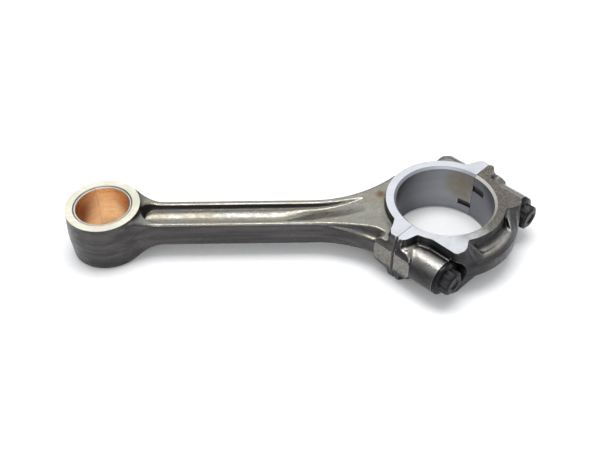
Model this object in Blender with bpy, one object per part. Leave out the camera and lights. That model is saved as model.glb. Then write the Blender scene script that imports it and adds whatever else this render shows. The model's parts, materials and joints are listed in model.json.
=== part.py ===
"""Connecting rod with an obliquely split big end, a bushed small end and two cap bolts.

The rod lies flat. The rod frame has its origin at the centre of the big end's bore, +X from
the small end to the big end and +Z along both bores. The joint frame is the rod frame turned
about Z: its +X runs along the joint line and its -Y points from the rod into the cap.
"""
import math

import bmesh
import bpy
from mathutils import Matrix, Vector

# Driving dimensions, in metres.
CENTRE_DISTANCE = 0.230
JOINT_ANGLE = math.radians(45.0)
GAP = 0.0003
EDGE_CHAMFER = 0.0004

# Big end: the bore, and the walls and widths of the rings around it.
BIG_BORE_RADIUS = 0.0328
BIG_BORE_CHAMFER = 0.0016
BIG_HALF_WIDTH = 0.019
THRUST_WALL = 0.0070
THRUST_STEP = 0.0006
THRUST_FILLET = 0.0018
ROD_WALL = 0.0147
ROD_BODY_HALF_HEIGHT = 0.0125
CAP_WALL = 0.0175
CAP_BAND_HALF_HEIGHT = 0.005
CAP_RIB_SETBACK = 0.0035
CAP_RIB_HALF_HEIGHT = 0.0096
CAP_TROUGH_WIDTH = 0.0036
CAP_TROUGH_HALF_HEIGHT = 0.0086

# Bolts, and the sleeves that locate the cap around them.
BOLT_RADIUS = 0.006
BOLT_WAIST = 0.0007
BOLT_REACH = 0.031
BOLT_POINT = 0.0012
THREAD_LENGTH = 0.028
HOLE_END_SPACE = 0.002
FLANGE_WIDTH = 0.0058
FLANGE_THICKNESS = 0.0026
HEAD_WIDTH = 0.0028
HEAD_HEIGHT = 0.0096
HEAD_POINTS = 12
CROWN_HEIGHT = 0.0014
DIMPLE_RADIUS = 0.0030
DIMPLE_DEPTH = 0.0013
SLEEVE_WALL = 0.0012
SLEEVE_HALF_LENGTH = 0.006

# Bosses, seats, side pads and lugs around the bolts.
BOLT_TO_BORE_WALL = 0.0014
BOSS_WALL = 0.0057
BOSS_RELIEF = 0.0006
SEAT_HEIGHT = 0.0325
SPOT_FACE_CLEARANCE = 0.0018
ROD_BOSS_DEPTH = 0.038
PAD_HALF_HEIGHT = 0.007
PAD_END_FALL = 0.0025
PAD_END_LENGTH = 0.004
ROD_PAD_LENGTH = 0.0155
CAP_PAD_LENGTH = 0.0135
EAR_SETBACK = 0.0036
EAR_SKIRT = 0.0012
EAR_STEP_SHARE = 0.55
ROD_EAR_LENGTH = 0.0095
CAP_EAR_LENGTH = 0.0062
LUG_SETBACK = 0.0062
LUG_RISE = 0.0058
LUG_ROOT = 0.012

# Slots for the tangs of the bearing shells.
TANG_DEPTH = 0.0014
TANG_LENGTH = 0.0110
TANG_OVERLAP = 0.04
CAP_TANG_SPAN = (0.0050, 0.0100)
ROD_TANG_SPAN = (-0.0115, -0.0070)

# Small end and its wrapped bush.
BUSH_BORE_RADIUS = 0.018
BUSH_WALL = 0.0014
BUSH_RECESS = 0.0004
BUSH_SEAM_WIDTH = 0.0003
BUSH_SEAM_ANGLE = math.radians(115.0)
SMALL_WALL = 0.0054
SMALL_DRAFT = 0.0011
SMALL_HALF_WIDTH = 0.0175

# Shank: an I-section that flares into the big end and grows into the small end.
SHANK_HALF_WIDTH = 0.0123
SHANK_HALF_HEIGHT = 0.0094
SHANK_BULGE = 0.0007
SHANK_EDGE = 0.0012
FLANGE_WALL = 0.0038
WEB_HALF_THICKNESS = 0.0034
POCKET_DRAFT = 0.0006
POCKET_END_RADIUS = 0.008
POCKET_TO_EYE = 0.0005
POCKET_TO_RING = 0.001
NEAR_FLARE_RADIUS = 0.074
FAR_FLARE_RADIUS = 0.085
FLARE_LENGTH = 0.0425
NEAR_FACET = (0.0070, 0.0043)
FAR_FACET = (0.0030, 0.0028)
NECK_RADIUS = 0.030
NECK_LENGTH = 0.015
NECK_WIDTH_SHARE = 0.75
NECK_DROP = 0.0015

# Derived values.
THRUST_RADIUS = BIG_BORE_RADIUS + THRUST_WALL
ROD_WALL_RADIUS = BIG_BORE_RADIUS + ROD_WALL
CAP_BACK_RADIUS = BIG_BORE_RADIUS + CAP_WALL
CAP_RIB_RADIUS = CAP_BACK_RADIUS - CAP_RIB_SETBACK
BOLT_WAIST_RADIUS = BOLT_RADIUS - BOLT_WAIST
BOLT_HOLE_RADIUS = BOLT_RADIUS + GAP
FLANGE_RADIUS = BOLT_RADIUS + FLANGE_WIDTH
HEAD_RADIUS = BOLT_RADIUS + HEAD_WIDTH
SLEEVE_RADIUS = BOLT_HOLE_RADIUS + SLEEVE_WALL
SLEEVE_HOUSING_RADIUS = SLEEVE_RADIUS + GAP
BOLT_OFFSET = BIG_BORE_RADIUS + BOLT_TO_BORE_WALL + SLEEVE_HOUSING_RADIUS
BOSS_RADIUS = BOLT_HOLE_RADIUS + BOSS_WALL
SPOT_FACE_RADIUS = FLANGE_RADIUS + SPOT_FACE_CLEARANCE
PAD_OFFSET = BOLT_OFFSET + BOSS_RADIUS - BOSS_RELIEF
EAR_WIDTH = PAD_OFFSET - EAR_SETBACK
LUG_WIDTH = BOLT_OFFSET - LUG_SETBACK
LUG_HEIGHT = SEAT_HEIGHT + LUG_RISE
HOUSING_RADIUS = BUSH_BORE_RADIUS + BUSH_WALL + GAP
SMALL_OUTER_RADIUS = HOUSING_RADIUS + SMALL_WALL
FLARE_START = ROD_WALL_RADIUS + FLARE_LENGTH
NECK_END = -CENTRE_DISTANCE + SMALL_OUTER_RADIUS + NECK_LENGTH
JOINT_TO_ROD = Matrix.Rotation(JOINT_ANGLE, 4, "Z")

# Extra length of cutters, and metal left on the rough solids for them to take off.
OVERRUN = 0.005
STOCK = 0.0004
ROUGH_TOP = BIG_HALF_WIDTH + 4 * STOCK


def new_material(name, color, metallic, roughness):
    material = bpy.data.materials.new(name)
    material.use_nodes = True
    shader = material.node_tree.nodes["Principled BSDF"]
    shader.inputs["Base Color"].default_value = (*color, 1.0)
    shader.inputs["Metallic"].default_value = metallic
    shader.inputs["Roughness"].default_value = roughness
    material.diffuse_color = (*color, 1.0)
    return material


def mesh_object(name, bm, matrix=Matrix.Identity(4)):
    """Turn a bmesh into an object, with its points moved by the matrix."""
    bm.transform(matrix)
    bmesh.ops.recalc_face_normals(bm, faces=bm.faces)
    mesh = bpy.data.meshes.new(name)
    bm.to_mesh(mesh)
    bm.free()
    obj = bpy.data.objects.new(name, mesh)
    bpy.context.scene.collection.objects.link(obj)
    return obj


def loft(name, rings, matrix=Matrix.Identity(4)):
    """Join rings of the same number of points, and cap the first and the last ring."""
    bm = bmesh.new()
    rows = [[bm.verts.new(point) for point in ring] for ring in rings]
    for lower, upper in zip(rows, rows[1:]):
        count = len(lower)
        for i in range(count):
            j = (i + 1) % count
            bm.faces.new((lower[i], lower[j], upper[j], upper[i]))
    bm.faces.new(list(reversed(rows[0])))
    bm.faces.new(rows[-1])
    return mesh_object(name, bm, matrix)


def prism(name, outline, bottom, top, matrix=Matrix.Identity(4)):
    """Extrude an outline of (x, y) points from bottom to top along Z."""
    rings = [[(x, y, z) for x, y in outline] for z in (bottom, top)]
    return loft(name, rings, matrix)


def lathe(name, profile, segments, matrix=Matrix.Identity(4)):
    """Turn a closed solid from (radius, height) points that start and end off the axis."""
    rings = []
    for radius, height in profile:
        angles = [2 * math.pi * i / segments for i in range(segments)]
        rings.append([(radius * math.cos(a), radius * math.sin(a), height) for a in angles])
    return loft(name, rings, matrix)


def combine(target, tools, operation):
    """Join the tools to the target, or cut them from it, in one step, and remove the tools."""
    group = bpy.data.collections.new("tools")
    for tool in tools:
        group.objects.link(tool)
    modifier = target.modifiers.new("shape", "BOOLEAN")
    modifier.operation = operation
    modifier.solver = "EXACT"
    modifier.operand_type = "COLLECTION"
    modifier.collection = group
    bpy.context.view_layer.update()
    depsgraph = bpy.context.evaluated_depsgraph_get()
    shaped = bpy.data.meshes.new_from_object(target.evaluated_get(depsgraph))
    target.modifiers.clear()
    target.data = shaped
    bpy.data.collections.remove(group)
    for tool in tools:
        bpy.data.objects.remove(tool)
    return target


def finish(obj, material, parent, smooth_angle=32.0):
    """Give a finished piece its name, material, shading and parent."""
    obj.data.name = obj.name
    obj.data.materials.clear()
    obj.data.materials.append(material)
    obj.data.shade_smooth()
    obj.data.set_sharp_from_angle(angle=math.radians(smooth_angle))
    obj.parent = parent


def along_bolt(side, start=0.0):
    """Matrix from a solid turned about Z to one turned about a bolt axis, pointing into the cap."""
    turn = Matrix.Rotation(math.radians(90.0), 4, "X")
    return JOINT_TO_ROD @ Matrix.Translation((side * BOLT_OFFSET, -start, 0)) @ turn


def mirrored(points, side):
    """Outline points on the chosen side of the joint frame, in the same turning direction."""
    if side > 0:
        return points
    return [(-x, y) for x, y in reversed(points)]


def bore_cutter(name, radius, half_width, chamfer, segments, matrix=Matrix.Identity(4)):
    """A bore with a chamfer at both mouths."""
    mouth = radius + chamfer + OVERRUN
    profile = [
        (mouth, -half_width - OVERRUN),
        (radius, -half_width + chamfer),
        (radius, half_width - chamfer),
        (mouth, half_width + OVERRUN),
    ]
    return lathe(name, profile, segments, matrix)


def face_cutters():
    """Blocks that mill both thrust faces flat, above and below the big end."""
    reach = 2 * PAD_OFFSET
    square = [(-reach, -reach), (reach, -reach), (reach, reach), (-reach, reach)]
    top = BIG_HALF_WIDTH + OVERRUN
    return [
        prism("upper_face", square, BIG_HALF_WIDTH, top),
        prism("lower_face", square, -top, -BIG_HALF_WIDTH),
    ]


def joint_cutter(name, direction):
    """A block that takes away everything past the joint plane, and half the gap before it."""
    reach = CENTRE_DISTANCE + 4 * CAP_BACK_RADIUS
    near = -direction * GAP / 2
    far = direction * reach
    low, high = sorted((near, far))
    outline = [(-reach, low), (reach, low), (reach, high), (-reach, high)]
    return prism(name, outline, -2 * BIG_HALF_WIDTH, 2 * BIG_HALF_WIDTH, JOINT_TO_ROD)


def tang_cutter(name, span, direction):
    """A bearing-shell slot in the bore beside the joint line, on the far side."""
    depth = BIG_BORE_RADIUS + TANG_DEPTH
    sweep = TANG_LENGTH / BIG_BORE_RADIUS
    steps = 4
    angles = [direction * (sweep * i / steps - TANG_OVERLAP) for i in range(steps)]
    angles.append(direction * sweep)
    outer = [(depth * math.cos(a), depth * math.sin(a)) for a in angles]
    inner_radius = BIG_BORE_RADIUS - OVERRUN
    inner = [(inner_radius * math.cos(a), inner_radius * math.sin(a)) for a in reversed(angles)]
    return prism(name, outer + inner, span[0], span[1], JOINT_TO_ROD)


def side_block(name, side, direction, ear_length, pad_length):
    """The block behind a side pad: as tall as the thrust face at the joint, lower beyond it."""
    inner = BIG_BORE_RADIUS - OVERRUN
    slope = (PAD_OFFSET - EAR_WIDTH) / (BIG_HALF_WIDTH - PAD_HALF_HEIGHT)
    low_crown = ROD_BODY_HALF_HEIGHT - STOCK
    tall_crown = BIG_HALF_WIDTH + STOCK
    step = EAR_STEP_SHARE * ear_length
    stations = [
        (-OVERRUN, tall_crown),
        (step, tall_crown),
        (step + EAR_SKIRT, low_crown),
        (pad_length - PAD_END_LENGTH, low_crown),
        (pad_length, PAD_HALF_HEIGHT + PAD_END_FALL),
    ]
    rings = []
    for along, crown in stations:
        width = PAD_OFFSET - slope * (crown - PAD_HALF_HEIGHT)
        upper = [(PAD_OFFSET, PAD_HALF_HEIGHT), (width, crown), (inner, crown)]
        section = [(x, -z) for x, z in reversed(upper)] + upper
        rings.append([(side * x, direction * along, z) for x, z in section])
    return loft(name, rings, JOINT_TO_ROD)


def ear_block(name, side, direction, length):
    """The full-width corner of the thrust face beside the joint line."""
    inner = BIG_BORE_RADIUS - 0.8 * OVERRUN
    start = -0.7 * direction * OVERRUN
    width = EAR_WIDTH - STOCK / 2
    outline = [
        (inner, start),
        (width, start),
        (width, direction * EAR_STEP_SHARE * length),
        (EAR_WIDTH - 0.32 * length, direction * 0.85 * length),
        (EAR_WIDTH - 0.75 * length, direction * length),
        (THRUST_RADIUS - 0.1 * length, direction * 1.25 * length),
        (inner, direction * 1.25 * length),
    ]
    points = mirrored(outline, side)
    grown = []
    for x, y in points:
        outward = EAR_SKIRT if inner < abs(x) < width else 0.0
        grown.append((x, y + direction * outward))
    upper = [
        (grown, ROD_BODY_HALF_HEIGHT),
        (points, BIG_HALF_WIDTH),
        (points, BIG_HALF_WIDTH + 2 * STOCK),
    ]
    levels = [(ring, -z) for ring, z in reversed(upper)] + upper
    rings = [[(x, y, z) for x, y in ring] for ring, z in levels]
    return loft(name, rings, JOINT_TO_ROD)


def flare(distance, radius):
    """How far a flank has moved outwards, on an arc that starts tangent to the shank."""
    run = min(distance, 0.8 * radius)
    return radius - math.sqrt(radius * radius - run * run)


def flare_share(x):
    """0 where the flanks start to flare, 1 where they reach the big end's wall."""
    return max(0.0, x + FLARE_START) / (FLARE_START - ROD_WALL_RADIUS)


def shank_size(x):
    """Far and near half-widths and the half-height of the shank at x."""
    from_flare = max(0.0, x + FLARE_START)
    far = SHANK_HALF_WIDTH + flare(from_flare, FAR_FLARE_RADIUS)
    near = SHANK_HALF_WIDTH + flare(from_flare, NEAR_FLARE_RADIUS)
    neck = flare(max(0.0, NECK_END - x), NECK_RADIUS)
    rise = min(1.0, flare_share(x)) ** 2
    height = SHANK_HALF_HEIGHT + (ROD_BODY_HALF_HEIGHT - SHANK_HALF_HEIGHT) * rise
    height = min(height + neck, SMALL_HALF_WIDTH - NECK_DROP)
    widening = NECK_WIDTH_SHARE * neck
    return far + widening, near + widening, height


def shank_ring(x):
    """Section of the shank: a bulge at the parting line and facets that grow with the flare."""
    far, near, height = shank_size(x)
    share = min(1.0, flare_share(x))
    far_in, far_down = (SHANK_EDGE + size * share ** k for size, k in zip(FAR_FACET, (2, 1)))
    near_in, near_down = (SHANK_EDGE + size * share ** k for size, k in zip(NEAR_FACET, (2, 1)))
    half = [
        (far + SHANK_BULGE, 0.0),
        (far, height - far_down),
        (far - far_in, height),
        (-near + near_in, height),
        (-near, height - near_down),
        (-near - SHANK_BULGE, 0.0),
    ]
    lower = [(y, -z) for y, z in reversed(half[1:-1])]
    return [(x, y, z) for y, z in half + lower]


def build_shank():
    start = -CENTRE_DISTANCE + 0.75 * SMALL_OUTER_RADIUS
    end = -BIG_BORE_RADIUS + 2 * GAP
    neck_steps = 5
    flare_steps = 8
    stations = [start + (NECK_END - start) * i / neck_steps for i in range(neck_steps + 1)]
    stations += [-FLARE_START + (FLARE_START + end) * i / flare_steps for i in range(flare_steps + 1)]
    return loft("rod_body", [shank_ring(x) for x in stations])


def pocket_cutter(name, face):
    """The I-section's recess on one face: round at the small end, a point at the big end."""
    start = -CENTRE_DISTANCE + SMALL_OUTER_RADIUS + POCKET_TO_EYE
    tip = -ROD_WALL_RADIUS + POCKET_TO_RING
    stations = [start + POCKET_END_RADIUS * share for share in (0.04, 0.16, 0.4, 0.7, 1.0)]
    stations += [tip - (FLARE_START + tip) * share for share in (1.0, 0.72, 0.45, 0.22, 0.0)]
    rings = []
    for x in stations:
        far, near, height = shank_size(x)
        run = max(0.0, x + FLARE_START) / (FLARE_START + tip)
        floor = WEB_HALF_THICKNESS + (height + STOCK - WEB_HALF_THICKNESS) * run ** 1.5
        top = height + OVERRUN
        draft = POCKET_DRAFT * (top - floor) / (SHANK_HALF_HEIGHT - WEB_HALF_THICKNESS)
        left = max(0.0, 1.0 - (x - start) / POCKET_END_RADIUS)
        end = math.sqrt(1.0 - left * left)
        width = SHANK_HALF_WIDTH - FLANGE_WALL
        far_edge = end * width + 0.45 * (far - SHANK_HALF_WIDTH) * (x > -FLARE_START)
        near_edge = end * width * (1.0 - 0.6 * run ** 2)
        low = [(-near_edge + POCKET_DRAFT * end, floor), (far_edge - POCKET_DRAFT * end, floor)]
        high = [(far_edge + draft, top), (-near_edge - draft, top)]
        rings.append([(x, y, face * z) for y, z in low + high])
    return loft(name, rings)


def build_rod():
    rod = build_shank()
    small_profile = [
        (SMALL_OUTER_RADIUS - EDGE_CHAMFER, -SMALL_HALF_WIDTH),
        (SMALL_OUTER_RADIUS, -SMALL_HALF_WIDTH + EDGE_CHAMFER),
        (SMALL_OUTER_RADIUS + SMALL_DRAFT, 0.0),
        (SMALL_OUTER_RADIUS, SMALL_HALF_WIDTH - EDGE_CHAMFER),
        (SMALL_OUTER_RADIUS - EDGE_CHAMFER, SMALL_HALF_WIDTH),
    ]
    small_place = Matrix.Translation((-CENTRE_DISTANCE, 0, 0))
    step = ROD_BODY_HALF_HEIGHT
    upper = [
        (ROD_WALL_RADIUS, 0.0),
        (ROD_WALL_RADIUS - SHANK_BULGE, 0.64 * step),
        (ROD_WALL_RADIUS - 0.2 * ROD_WALL, 0.92 * step),
        (THRUST_RADIUS + THRUST_FILLET, step),
        (THRUST_RADIUS + STOCK, step + THRUST_STEP),
        (THRUST_RADIUS, ROUGH_TOP),
    ]
    lower = [(r, -z) for r, z in reversed(upper[1:])]
    parts = [
        lathe("small_eye", small_profile, 56, small_place),
        lathe("big_eye", lower + upper, 72),
    ]
    for side in (-1, 1):
        parts.append(side_block("shoulder", side, 1, ROD_EAR_LENGTH, ROD_PAD_LENGTH))
        parts.append(ear_block("ear", side, 1, ROD_EAR_LENGTH))
    boss_radius = BOSS_RADIUS - BOSS_RELIEF
    boss_profile = [
        (boss_radius, -OVERRUN),
        (boss_radius, ROD_BOSS_DEPTH - 0.57 * boss_radius),
        (0.84 * boss_radius, ROD_BOSS_DEPTH - 0.2 * boss_radius),
        (0.48 * boss_radius, ROD_BOSS_DEPTH),
    ]
    backwards = Matrix.Rotation(math.pi, 4, "X")
    parts.append(lathe("far_boss", boss_profile, 32, along_bolt(1) @ backwards))
    combine(rod, parts, "UNION")

    cutters = [
        bore_cutter("big_bore", BIG_BORE_RADIUS, BIG_HALF_WIDTH, BIG_BORE_CHAMFER, 72),
        bore_cutter("small_bore", HOUSING_RADIUS, SMALL_HALF_WIDTH, EDGE_CHAMFER, 48, small_place),
        *face_cutters(),
        joint_cutter("joint", -1),
        tang_cutter("tang", ROD_TANG_SPAN, 1),
        pocket_cutter("upper_pocket", 1),
        pocket_cutter("lower_pocket", -1),
    ]
    for side in (-1, 1):
        hole = [
            (BOLT_HOLE_RADIUS, -BOLT_REACH - HOLE_END_SPACE),
            (BOLT_HOLE_RADIUS, -SLEEVE_HALF_LENGTH - GAP),
            (SLEEVE_HOUSING_RADIUS, -SLEEVE_HALF_LENGTH - GAP),
            (SLEEVE_HOUSING_RADIUS, OVERRUN),
        ]
        cutters.append(lathe("thread_hole", hole, 32, along_bolt(side)))
    return combine(rod, cutters, "DIFFERENCE")


def build_bush():
    """A wrapped bush: a turned tube with the narrow seam where its ends meet."""
    place = Matrix.Translation((-CENTRE_DISTANCE, 0, 0))
    outer = BUSH_BORE_RADIUS + BUSH_WALL
    half = SMALL_HALF_WIDTH - BUSH_RECESS
    profile = [
        (outer - EDGE_CHAMFER, -half),
        (outer, -half + EDGE_CHAMFER),
        (outer, half - EDGE_CHAMFER),
        (outer - EDGE_CHAMFER, half),
    ]
    bush = lathe("small_end_bush", profile, 48, place)
    bore = bore_cutter("pin_bore", BUSH_BORE_RADIUS, half, EDGE_CHAMFER, 48, place)
    seam_half = BUSH_SEAM_WIDTH / 2
    slot = [(0, -seam_half), (2 * outer, -seam_half), (2 * outer, seam_half), (0, seam_half)]
    turn = place @ Matrix.Rotation(BUSH_SEAM_ANGLE, 4, "Z")
    seam = prism("seam", slot, -2 * half, 2 * half, turn)
    return combine(bush, [bore, seam], "DIFFERENCE")


def lug_block(name, side):
    """The thrust face's lug beside a bolt head, its end sloping out to the cap's back."""
    back = CAP_BACK_RADIUS - STOCK
    inner = BIG_BORE_RADIUS - 2 * OVERRUN
    shoulder = LUG_HEIGHT - 0.57 * LUG_RISE
    top = [
        (0.55 * LUG_WIDTH, LUG_HEIGHT - 0.95 * LUG_RISE),
        (0.63 * LUG_WIDTH, LUG_HEIGHT - 0.52 * LUG_RISE),
        (0.75 * LUG_WIDTH, LUG_HEIGHT - 0.09 * LUG_RISE),
        (0.84 * LUG_WIDTH, LUG_HEIGHT),
        (0.965 * LUG_WIDTH, LUG_HEIGHT - 0.24 * LUG_RISE),
        (LUG_WIDTH, shoulder),
        (LUG_WIDTH, LUG_ROOT),
        (inner, LUG_ROOT),
    ]
    shares = (0.56, 0.64, 0.72, 0.80)
    base = [(share * LUG_WIDTH, math.sqrt(back ** 2 - (share * LUG_WIDTH) ** 2)) for share in shares]
    base += [
        (LUG_WIDTH, LUG_HEIGHT + STOCK),
        (LUG_WIDTH + EAR_SKIRT, shoulder),
        (LUG_WIDTH + EAR_SKIRT, LUG_ROOT),
        (inner, LUG_ROOT),
    ]
    upper = [
        (base, CAP_BAND_HALF_HEIGHT - STOCK),
        (top, BIG_HALF_WIDTH),
        (top, BIG_HALF_WIDTH + 3 * STOCK),
    ]
    levels = [(ring, -z) for ring, z in reversed(upper)] + upper
    rings = [[(side * x, -y, z) for x, y in ring] for ring, z in levels]
    return loft(name, rings, JOINT_TO_ROD)


def build_cap():
    upper = [
        (CAP_BACK_RADIUS, CAP_BAND_HALF_HEIGHT),
        (CAP_BACK_RADIUS - 0.34 * CAP_RIB_SETBACK, 0.81 * CAP_RIB_HALF_HEIGHT),
        (CAP_RIB_RADIUS + 0.23 * CAP_RIB_SETBACK, CAP_RIB_HALF_HEIGHT),
        (CAP_RIB_RADIUS - 0.40 * CAP_RIB_SETBACK, 0.98 * CAP_RIB_HALF_HEIGHT),
        (THRUST_RADIUS + CAP_TROUGH_WIDTH, CAP_TROUGH_HALF_HEIGHT),
        (THRUST_RADIUS + 0.44 * CAP_TROUGH_WIDTH, 1.13 * CAP_TROUGH_HALF_HEIGHT),
        (THRUST_RADIUS + 0.19 * CAP_TROUGH_WIDTH, 1.41 * CAP_TROUGH_HALF_HEIGHT),
        (THRUST_RADIUS, ROUGH_TOP),
    ]
    lower = [(r, -z) for r, z in reversed(upper)]
    cap = lathe("bearing_cap", lower + upper, 72)
    parts = []
    for side in (-1, 1):
        parts.append(side_block("shoulder", side, -1, CAP_EAR_LENGTH, CAP_PAD_LENGTH))
        parts.append(ear_block("ear", side, -1, CAP_EAR_LENGTH))
        parts.append(lug_block("lug", side))
        boss = [(BOSS_RADIUS, CAP_PAD_LENGTH - PAD_END_FALL), (BOSS_RADIUS, SEAT_HEIGHT)]
        parts.append(lathe("boss", boss, 40, along_bolt(side)))
    combine(cap, parts, "UNION")

    cutters = [
        bore_cutter("big_bore", BIG_BORE_RADIUS, BIG_HALF_WIDTH, BIG_BORE_CHAMFER, 72),
        *face_cutters(),
        joint_cutter("joint", 1),
        tang_cutter("tang", CAP_TANG_SPAN, -1),
    ]
    for side in (-1, 1):
        hole = [
            (SLEEVE_HOUSING_RADIUS, -OVERRUN),
            (SLEEVE_HOUSING_RADIUS, SLEEVE_HALF_LENGTH + GAP),
            (BOLT_HOLE_RADIUS, SLEEVE_HALF_LENGTH + GAP),
            (BOLT_HOLE_RADIUS, SEAT_HEIGHT + OVERRUN),
        ]
        cutters.append(lathe("bolt_hole", hole, 32, along_bolt(side)))
        seat = [(SPOT_FACE_RADIUS, SEAT_HEIGHT), (SPOT_FACE_RADIUS, 2 * CAP_BACK_RADIUS)]
        cutters.append(lathe("spot_face", seat, 40, along_bolt(side)))
    return combine(cap, cutters, "DIFFERENCE")


def build_sleeve(name, side):
    """A locating sleeve around the bolt, half in the rod and half in the cap."""
    ends = (-SLEEVE_HALF_LENGTH, SLEEVE_HALF_LENGTH)
    outer = [(SLEEVE_RADIUS, end) for end in ends]
    sleeve = lathe(name, outer, 32, along_bolt(side))
    inner = [(BOLT_HOLE_RADIUS, 2 * end) for end in ends]
    return combine(sleeve, [lathe("sleeve_bore", inner, 32, along_bolt(side))], "DIFFERENCE")


def star_outline(radius, points):
    """The outline of two hexagons, one turned by half a corner from the other."""
    valley = radius * math.cos(math.radians(30)) / math.cos(math.radians(15))
    outline = []
    for i in range(2 * points):
        reach = radius if i % 2 == 0 else valley
        angle = math.pi * i / points
        outline.append((reach * math.cos(angle), reach * math.sin(angle)))
    return outline


def build_bolt(name):
    """A flanged twelve-point bolt about its own Z, with its bearing face at z = 0."""
    tip = -SEAT_HEIGHT - GAP - BOLT_REACH
    shoulder = -SLEEVE_HALF_LENGTH
    runout = BOLT_RADIUS - BOLT_WAIST_RADIUS + EDGE_CHAMFER / 4
    profile = [
        (BOLT_RADIUS - BOLT_POINT, tip),
        (BOLT_RADIUS, tip + BOLT_POINT),
        (BOLT_RADIUS, tip + THREAD_LENGTH),
        (BOLT_WAIST_RADIUS, tip + THREAD_LENGTH + runout),
        (BOLT_WAIST_RADIUS, shoulder - runout),
        (BOLT_RADIUS, shoulder),
        (BOLT_RADIUS, 0.0),
        (FLANGE_RADIUS - EDGE_CHAMFER, 0.0),
        (FLANGE_RADIUS, EDGE_CHAMFER),
        (FLANGE_RADIUS, 0.81 * FLANGE_THICKNESS),
        (FLANGE_RADIUS - 2 * EDGE_CHAMFER, FLANGE_THICKNESS),
        (HEAD_RADIUS + EDGE_CHAMFER / 2, 1.35 * FLANGE_THICKNESS),
    ]
    bolt = lathe(name, profile, 48)
    outline = star_outline(HEAD_RADIUS, HEAD_POINTS)
    head = prism("head", outline, FLANGE_THICKNESS / 2, HEAD_HEIGHT)
    combine(bolt, [head], "UNION")
    slope = HEAD_RADIUS / HEAD_HEIGHT
    rim = HEAD_RADIUS + OVERRUN
    base = HEAD_HEIGHT - CROWN_HEIGHT
    ring = lathe("crown", [(rim, base), (rim, HEAD_HEIGHT + OVERRUN)], 48)
    cone = [
        (HEAD_RADIUS + slope * STOCK, base - STOCK),
        (HEAD_RADIUS - slope * (CROWN_HEIGHT + STOCK), HEAD_HEIGHT + STOCK),
    ]
    combine(ring, [lathe("cone", cone, 48)], "DIFFERENCE")
    slant = DIMPLE_RADIUS + DIMPLE_DEPTH + STOCK
    hollow = [(DIMPLE_RADIUS, HEAD_HEIGHT - DIMPLE_DEPTH), (slant, HEAD_HEIGHT + STOCK)]
    return combine(bolt, [ring, lathe("dimple", hollow, 24)], "DIFFERENCE")


def place_bolt(bolt, side):
    bolt.matrix_world = along_bolt(side, SEAT_HEIGHT + GAP)


def lowest_centre(objects):
    """The middle of the bottom of the box around all the pieces."""
    bpy.context.view_layer.update()
    corners = [obj.matrix_world @ vertex.co for obj in objects for vertex in obj.data.vertices]
    low = Vector([min(corner[i] for corner in corners) for i in range(3)])
    high = Vector([max(corner[i] for corner in corners) for i in range(3)])
    return Vector(((low.x + high.x) / 2, (low.y + high.y) / 2, low.z))


def main():
    for obj in list(bpy.data.objects):
        bpy.data.objects.remove(obj)

    forged = new_material("forged_steel", (0.22, 0.215, 0.20), 0.85, 0.48)
    cap_steel = new_material("cap_steel", (0.26, 0.25, 0.24), 0.85, 0.42)
    bronze = new_material("bush_bronze", (0.62, 0.33, 0.14), 0.9, 0.35)
    black = new_material("bolt_black", (0.025, 0.025, 0.03), 0.6, 0.38)
    ground = new_material("sleeve_steel", (0.50, 0.50, 0.50), 0.95, 0.30)

    root = bpy.data.objects.new("rod_frame", None)
    bpy.context.scene.collection.objects.link(root)
    pieces = [
        (build_rod(), forged),
        (build_bush(), bronze),
        (build_cap(), cap_steel),
    ]
    for name, side in (("cap_bolt_near", -1), ("cap_bolt_far", 1)):
        bolt = build_bolt(name)
        place_bolt(bolt, side)
        pieces.append((bolt, black))
    for name, side in (("dowel_sleeve_near", -1), ("dowel_sleeve_far", 1)):
        pieces.append((build_sleeve(name, side), ground))

    rest_point = lowest_centre([obj for obj, _ in pieces])
    for obj, material in pieces:
        finish(obj, material, root)
    root.location = -rest_point


main()
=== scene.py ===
"""Looks for a connecting rod lying on its side: forged body and cap, bush, bolts and sleeves.

Shapes are worked out in millimetres in the rod frame: its origin is the centre of the big
end's bore, +X runs from the small end to the big end and +Z along both bores. The joint frame
is the rod frame turned about Z, so that its -Y points from the rod into the cap.
"""
import json
import math
import random

import bmesh
import bpy
import numpy as np
from mathutils import Matrix, Vector
from mathutils.bvhtree import BVHTree


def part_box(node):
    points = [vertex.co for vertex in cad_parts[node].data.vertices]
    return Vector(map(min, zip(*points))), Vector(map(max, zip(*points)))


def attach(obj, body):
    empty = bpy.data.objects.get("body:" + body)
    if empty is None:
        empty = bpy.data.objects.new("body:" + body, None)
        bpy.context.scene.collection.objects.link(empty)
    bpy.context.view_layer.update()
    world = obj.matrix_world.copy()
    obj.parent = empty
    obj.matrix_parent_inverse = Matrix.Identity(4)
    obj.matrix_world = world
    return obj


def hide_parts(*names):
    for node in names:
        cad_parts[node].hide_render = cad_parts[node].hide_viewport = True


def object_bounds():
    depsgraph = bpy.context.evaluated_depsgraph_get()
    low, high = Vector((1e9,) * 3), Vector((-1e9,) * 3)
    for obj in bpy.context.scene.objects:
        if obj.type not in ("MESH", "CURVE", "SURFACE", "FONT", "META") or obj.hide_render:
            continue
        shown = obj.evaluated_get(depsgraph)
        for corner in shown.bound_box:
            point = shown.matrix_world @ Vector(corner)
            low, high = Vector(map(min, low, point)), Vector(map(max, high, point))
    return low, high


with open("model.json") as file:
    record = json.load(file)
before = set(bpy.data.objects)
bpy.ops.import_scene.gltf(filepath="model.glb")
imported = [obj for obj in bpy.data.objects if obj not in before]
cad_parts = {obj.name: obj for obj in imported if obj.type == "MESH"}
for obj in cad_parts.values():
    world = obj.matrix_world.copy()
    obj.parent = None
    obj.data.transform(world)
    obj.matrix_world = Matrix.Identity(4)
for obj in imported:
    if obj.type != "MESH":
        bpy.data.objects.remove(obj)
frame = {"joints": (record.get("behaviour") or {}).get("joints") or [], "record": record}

cad_box = [list(corner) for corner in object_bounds()]
MM = 1000.0


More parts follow.
